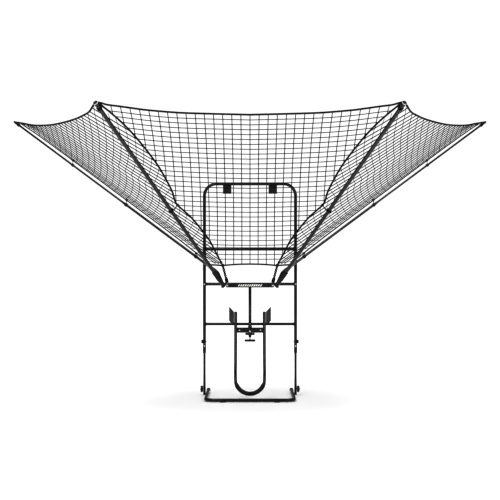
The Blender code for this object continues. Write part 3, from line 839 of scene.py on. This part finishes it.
def make_base_tube():
    low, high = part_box("base_tube")
    side_x = high[0] - BASE_INSET
    centre_x = -side_x + BASE_CORNER
    centre_y = low[1] + BASE_INSET + BASE_CORNER
    route = [Vector((-side_x, high[1], BASE_Z)), Vector((-side_x, 0.3, BASE_Z))]
    route += corner_arc(lambda c, s: Vector((centre_x + c, centre_y + s, BASE_Z)), BASE_CORNER,
                        math.pi, 1.5 * math.pi, 16)
    base = Shape()
    base.tube(route + flipped(route[::-1]), BASE_R, 32)
    base.piece("round_base_tube", "base", PAINT, "frame_paint", ["base_tube"])


def make_rails():
    """The two rails in one bent tube, and the sleeve on its front bend."""
    left_end = [(-x, y, z) for x, y, z in RAIL_END]
    left = smooth([(-RAIL_X, y, z) for y, z in RAIL_ROUTE] + left_end, 8)
    rails = Shape()
    rails.tube(left + flipped(left[-2::-1]), RAIL_R, 28)
    rails.piece("round_chute_rails", "chute", PAINT, "frame_paint", ["chute_rails"])
    bend = smooth(left_end, 8)
    bend = bend + flipped(bend[-2::-1])
    full = [min(1.0, i / 5, (len(bend) - 1 - i) / 5) for i in range(len(bend))]
    sleeve_drop = Vector((0, 0.002, 0.0042))
    route = [p + sleeve_drop * f for p, f in zip(bend, full)]
    sleeve = Shape()
    sleeve.tube(route, [0.0121 + 0.0037 * f for f in full], 28)
    sleeve.piece("chute_end_sleeve", "chute", RUBBER, "rubber")


def make_poles():
    for name, sign in SIDES:
        turn = Vector((sign, 1, 1))
        pole = Shape()
        dome_tube(pole, FRONT_FOOT * turn, FRONT_TIP * turn, FRONT_POLE_R)
        pole.piece(f"round_front_pole_{name}", "upper_frame", POLE, "pole_metal",
                   [f"front_pole_{name}"])
        foot = REAR_FOOT * turn
        along = REAR_TIP * turn - foot
        lower = Shape()
        bore = REAR_UPPER_R + 0.0003
        lower.turned([(0, 0), (REAR_LOWER_R - 0.001, 0), (REAR_LOWER_R, 0.001),
                      (REAR_LOWER_R, REAR_JOINT - 0.0006), (REAR_LOWER_R - 0.0006, REAR_JOINT),
                      (bore, REAR_JOINT), (bore, REAR_JOINT - SPIGOT),
                      (0, REAR_JOINT - SPIGOT)], foot, along, 32)
        lower.piece(f"round_rear_lower_{name}", "upper_frame", POLE, "pole_metal",
                    [f"rear_pole_lower_{name}"])
        upper = Shape()
        dome_tube(upper, foot + along.normalized() * (REAR_JOINT - 0.0597), foot + along,
                  REAR_UPPER_R)
        upper.piece(f"round_rear_upper_{name}", "upper_frame", POLE, "pole_metal",
                    [f"rear_pole_upper_{name}"])
        make_clips(name, turn)
        make_sleeves(name, turn)
        make_caps(name, turn)


def make_sleeves(name, turn):
    """Plastic sleeves over the poles just above their sockets."""
    sleeves = Shape()
    for foot, tip, radius, start, end in (
            (FRONT_FOOT, FRONT_TIP, FRONT_POLE_R, 0.060, 0.150),
            (REAR_FOOT, REAR_TIP, REAR_LOWER_R, 0.012, 0.075)):
        inner = radius + 0.0003
        outer = radius + 0.0042
        ease = 0.001
        sleeves.turned([(inner, start), (outer - ease, start), (outer, start + ease),
                        (outer, end - ease), (outer - ease, end), (inner, end)],
                       foot * turn, (tip - foot) * turn, 32, True)
    sleeves.piece(f"pole_sleeves_{name}", "upper_frame", HARD, "hard_plastic")


def make_caps(name, turn):
    for end, tip, foot, radius in (("front", FRONT_TIP, FRONT_FOOT, FRONT_POLE_R),
                                   ("rear", REAR_TIP, REAR_FOOT, REAR_UPPER_R)):
        inner = radius + 0.0004
        outer = radius + 0.0017
        cap = Shape()
        cap.turned([(0, 0.0003), (inner, 0.0003), (inner, -0.03), (outer - 0.0004, -0.03),
                    (outer, -0.0294), (outer, 0.001), (outer * 0.94, 0.0032),
                    (outer * 0.72, 0.005), (outer * 0.3, 0.0058), (0, 0.006)],
                   tip * turn, ((tip - foot) * turn).normalized(), 32)
        cap.piece(f"round_{end}_cap_{name}", "upper_frame", CAP, "cap_plastic",
                  [f"{end}_cap_{name}"])


def make_clips(name, turn):
    """Moulded clamps on the rear pole that the edge rope is tied to, and the joint's button."""
    axis = REAR_AXIS * turn
    clips = Shape()
    for distance in CLIPS:
        radius = REAR_UPPER_R if distance > REAR_JOINT else REAR_LOWER_R
        place = REAR_FOOT + REAR_AXIS * distance
        inner, eased, outer = radius + 0.0003, radius + 0.0032, radius + 0.0040
        clips.turned([(inner, -0.009), (eased, -0.009), (outer, -0.007), (outer, 0.007),
                      (eased, 0.009), (inner, 0.009)], place * turn, axis, 28, True)
        ear = (place + Vector((0, -radius - 0.0046, 0.003))) * turn
        clips.turned([(0, -0.0045), (0.0050, -0.0045), (0.0055, -0.0035), (0.0055, 0.0035),
                      (0.0050, 0.0045), (0, 0.0045)], ear, axis, 18)
    clips.piece(f"pole_clips_{name}", "upper_frame", HARD, "hard_plastic")
    outward = Vector((0, -1, 0.35))
    sunk = REAR_LOWER_R - 0.0008
    place = REAR_FOOT + REAR_AXIS * (REAR_JOINT - 0.03) + outward.normalized() * sunk
    button = Shape()
    button.turned([(0, 0), (0.0042, 0), (0.0042, 0.0014), (0.0030, 0.0026), (0, 0.003)],
                  place * turn, outward * turn, 18)
    button.piece(f"joint_button_{name}", "upper_frame", STEEL, "bolt_steel")


# ---- Bolts, badge and small fittings

def bolt(shape, place, axis, radius=0.0055, height=0.004):
    """A washer and a round head with an eased edge and a dimple."""
    shape.turned([(0, 0.0002), (radius * 1.45, 0.0002), (radius * 1.45, 0.0012), (radius, 0.0014),
                  (radius, height * 0.75), (radius * 0.8, height), (radius * 0.45, height),
                  (radius * 0.42, height * 0.45), (0, height * 0.45)], place, axis, 24)


def make_bolts():
    forward = (0, -1, 0)
    frame_bolts = Shape()
    bolt(frame_bolts, (0, FRAME_Y - 0.0100, 0.553), forward, 0.005)
    for side in (-1, 1):
        x = side * UPRIGHT_X
        bolt(frame_bolts, (x, FRAME_Y - UPRIGHT_R, 0.863), forward, 0.0045)
        bolt(frame_bolts, (side * HOOK_X, BAR_Y - 0.010, BAR_Z), forward, 0.0055)
        bolt(frame_bolts, (side * (UPRIGHT_X - UPRIGHT_R), FRAME_Y, 0.417), (-side, 0, 0),
             0.0055, 0.007)
        bolt(frame_bolts, (side * HOOK_X, BAR_Y + 0.002, BAR_Z + 0.0158), (0, 0, 1),
             0.0045, 0.006)
    frame_bolts.piece("frame_bolts", "upper_frame", STEEL, "bolt_steel")
    base_bolts = Shape()
    for side in (-1, 1):
        bolt(base_bolts, (side * UPRIGHT_X, FRAME_Y - 0.0125, 0.383), forward, 0.0048)
        bolt(base_bolts, (side * 0.3155, FRAME_Y, 0.016), (-side, 0, 0), 0.006, 0.006)
    base_bolts.piece("base_bolts", "base", STEEL, "bolt_steel")
    chute_bolts = Shape()
    bolt(chute_bolts, (0, 0.296, 0.503), forward, 0.0055)
    for side in (-1, 1):
        bolt(chute_bolts, (side * 0.080, 0.296, 0.512), forward, 0.0040)
    chute_bolts.piece("chute_bolts", "chute", STEEL, "bolt_steel")


def make_handle():
    """The T-handle: a grip, and a stem with a collar for the spring."""
    handle = Shape()
    grip_z = 0.430
    dome_tube(handle, (-0.042, STEM_Y, grip_z), (0.042, STEM_Y, grip_z), 0.0088, 0.003)
    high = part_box("t_handle")[1][2]
    stem_r = 0.0041
    collar_r = 0.0078
    handle.turned([(0, 0.4335), (0.0044, 0.4335), (0.0044, 0.442), (stem_r, 0.4435),
                   (stem_r, 0.528), (collar_r, 0.528), (collar_r, 0.532), (stem_r, 0.532),
                   (stem_r, high - 0.0012), (0.003, high), (0, high)],
                  (0, STEM_Y, 0), (0, 0, 1), 28)
    handle.piece("round_t_handle", "plunger", HARD, "hard_plastic", ["t_handle"])


def make_badge():
    """A plain row of slanted bars where the original carries lettering."""
    badge = Shape()
    front = BAR_Y - 0.0104
    bars = 11
    half = 0.0052
    slant = 0.0045
    low, high = BAR_Z - 0.0075, BAR_Z + 0.0075
    for i in range(bars):
        x = -0.083 + 0.166 * i / (bars - 1)
        badge.prism([(x - half - slant, low), (x + half - slant, low), (x + half + slant, high),
                     (x - half + slant, high)], front, front + 0.0005)
    badge.piece("badge_bars", "upper_frame", BADGE, "cap_plastic")


def make_fittings():
    """The bracket under the cross plate and the end plugs of the chute tube."""
    bracket = Shape()
    low, high = -0.036, 0.036
    bracket.prism([(low, 0.4905), (low, 0.477), (low + 0.004, 0.4735), (high - 0.004, 0.4735),
                   (high, 0.477), (high, 0.4905)], 0.3005, 0.3045)
    bracket.piece("plunger_bracket", "chute", PAINT, "frame_paint")
    plugs = Shape()
    for side in (-1, 1):
        plugs.turned([(0, 0), (0.0098, 0), (0.0104, 0.0008), (0.0104, 0.0018),
                      (0.0085, 0.0034), (0, 0.0042)],
                     (side * RAIL_X, 0.3452, 0.6464), (0, 0.336, 0.942), 28)
    plugs.piece("rail_end_plugs", "chute", HARD, "hard_plastic")


# Finishes of the CAD nodes that stay visible
NODE_FINISH = {
    PAINT: ("front_bar", "cross_plate", "swivel_yoke", "arc_plate", "plunger_housing",
            "front_socket_left", "front_socket_right", "rear_socket_left", "rear_socket_right"),
    HARD: ("stop_collar_left", "stop_collar_right", "wheel_left", "wheel_right",
           "lock_knob_left", "lock_knob_right", "rear_foot_left", "rear_foot_right"),
    GUARD_PAINTED_REFLECTION: ("chute_guard_left", "chute_guard_right"),
    RUBBER: ("front_foot_left", "front_foot_right", "rubber_pad_left", "rubber_pad_right"),
    STEEL: ("wheel_bolt_left", "wheel_bolt_right", "pivot_pin", "plunger_spring"),
}


def dress_nodes():
    for finish, names in NODE_FINISH.items():
        for name in names:
            mesh = NODES[name].data
            mesh.materials.clear()
            mesh.materials.append(finish)
            mesh.shade_smooth()
            mesh.set_sharp_from_angle(angle=NODE_SHARP)


# ---- Studio

CAMERA_PLACE = (0, -9.6, 1.127)
CAMERA_LENS = 92.8
VIEW_GAMMA = 0.72  # deepens the blacks, as in the photo
WORLD_LIGHT = 0.22  # the world's strength as light
WORLD_SEEN = 1.05  # and as the camera's background
FLOOR_HALF = 60
# The floor glows to white with distance from the object, so that no horizon shows.
FLOOR_GLOW = (("From Min", 0.5), ("From Max", 2.6), ("To Min", 0.12), ("To Max", 1.02))


def area_light(name, place, target, size, power):
    light = bpy.data.lights.new(name, "AREA")
    light.shape = "RECTANGLE"
    light.size, light.size_y = size
    light.energy = power
    obj = bpy.data.objects.new(name, light)
    bpy.context.collection.objects.link(obj)
    obj.location = place
    obj.rotation_euler = (Vector(target) - Vector(place)).to_track_quat("-Z", "Y").to_euler()


def make_camera(scene):
    camera = bpy.data.cameras.new("camera")
    camera.lens = CAMERA_LENS
    camera.sensor_width = 36
    camera.clip_end = 200
    eye = bpy.data.objects.new("camera", camera)
    bpy.context.collection.objects.link(eye)
    eye.location = CAMERA_PLACE
    eye.rotation_euler = (math.radians(90), 0, 0)
    scene.camera = eye


def make_world(scene):
    world = bpy.data.worlds.new("studio")
    scene.world = world
    world.use_nodes = True
    tree = world.node_tree
    backdrop = tree.nodes["Background"]
    backdrop.inputs["Color"].default_value = (1, 1, 1, 1)
    path = tree.nodes.new("ShaderNodeLightPath")
    strength = spread(tree, path.outputs["Is Camera Ray"], WORLD_LIGHT, WORLD_SEEN)
    tree.links.new(strength, backdrop.inputs["Strength"])


def make_floor():
    mesh = bpy.data.meshes.new("floor")
    corners = [(x * FLOOR_HALF, y * FLOOR_HALF, 0) for x, y in ((-1, -1), (1, -1), (1, 1), (-1, 1))]
    mesh.from_pydata(corners, [], [(0, 1, 2, 3)])
    floor = bpy.data.objects.new("floor", mesh)
    bpy.context.collection.objects.link(floor)
    finish, tree, shader = new_material("pale_floor", (0.80, 0.80, 0.80), 0.7, gloss=0.1)
    shader.inputs["Emission Color"].default_value = (1, 1, 1, 1)
    coords = tree.nodes.new("ShaderNodeTexCoord")
    length = tree.nodes.new("ShaderNodeVectorMath")
    length.operation = "LENGTH"
    tree.links.new(coords.outputs["Object"], length.inputs[0])
    glow = tree.nodes.new("ShaderNodeMapRange")
    glow.interpolation_type = "SMOOTHSTEP"
    for key, value in FLOOR_GLOW:
        glow.inputs[key].default_value = value
    tree.links.new(length.outputs["Value"], glow.inputs["Value"])
    tree.links.new(glow.outputs["Result"], shader.inputs["Emission Strength"])
    mesh.materials.append(finish)


def make_studio():
    scene = bpy.context.scene
    scene.view_settings.view_transform = "Standard"
    scene.view_settings.look = "None"
    scene.view_settings.gamma = VIEW_GAMMA
    make_camera(scene)
    make_world(scene)
    make_floor()
    area_light("key", (-2.2, -4.5, 5.0), (0, 0.3, 0.8), (3.0, 3.0), 260)
    area_light("fill", (3.5, -3.5, 3.0), (0, 0.3, 0.9), (2.5, 2.5), 120)
    area_light("top", (0, 1.0, 5.5), (0, 0.4, 0.5), (4.0, 3.0), 160)


make_studio()
make_netting()
make_ropes()
make_lashings()
make_tip_loops()
make_tubes()
make_poles()
make_bolts()
make_handle()
make_badge()
make_fittings()
dress_nodes()
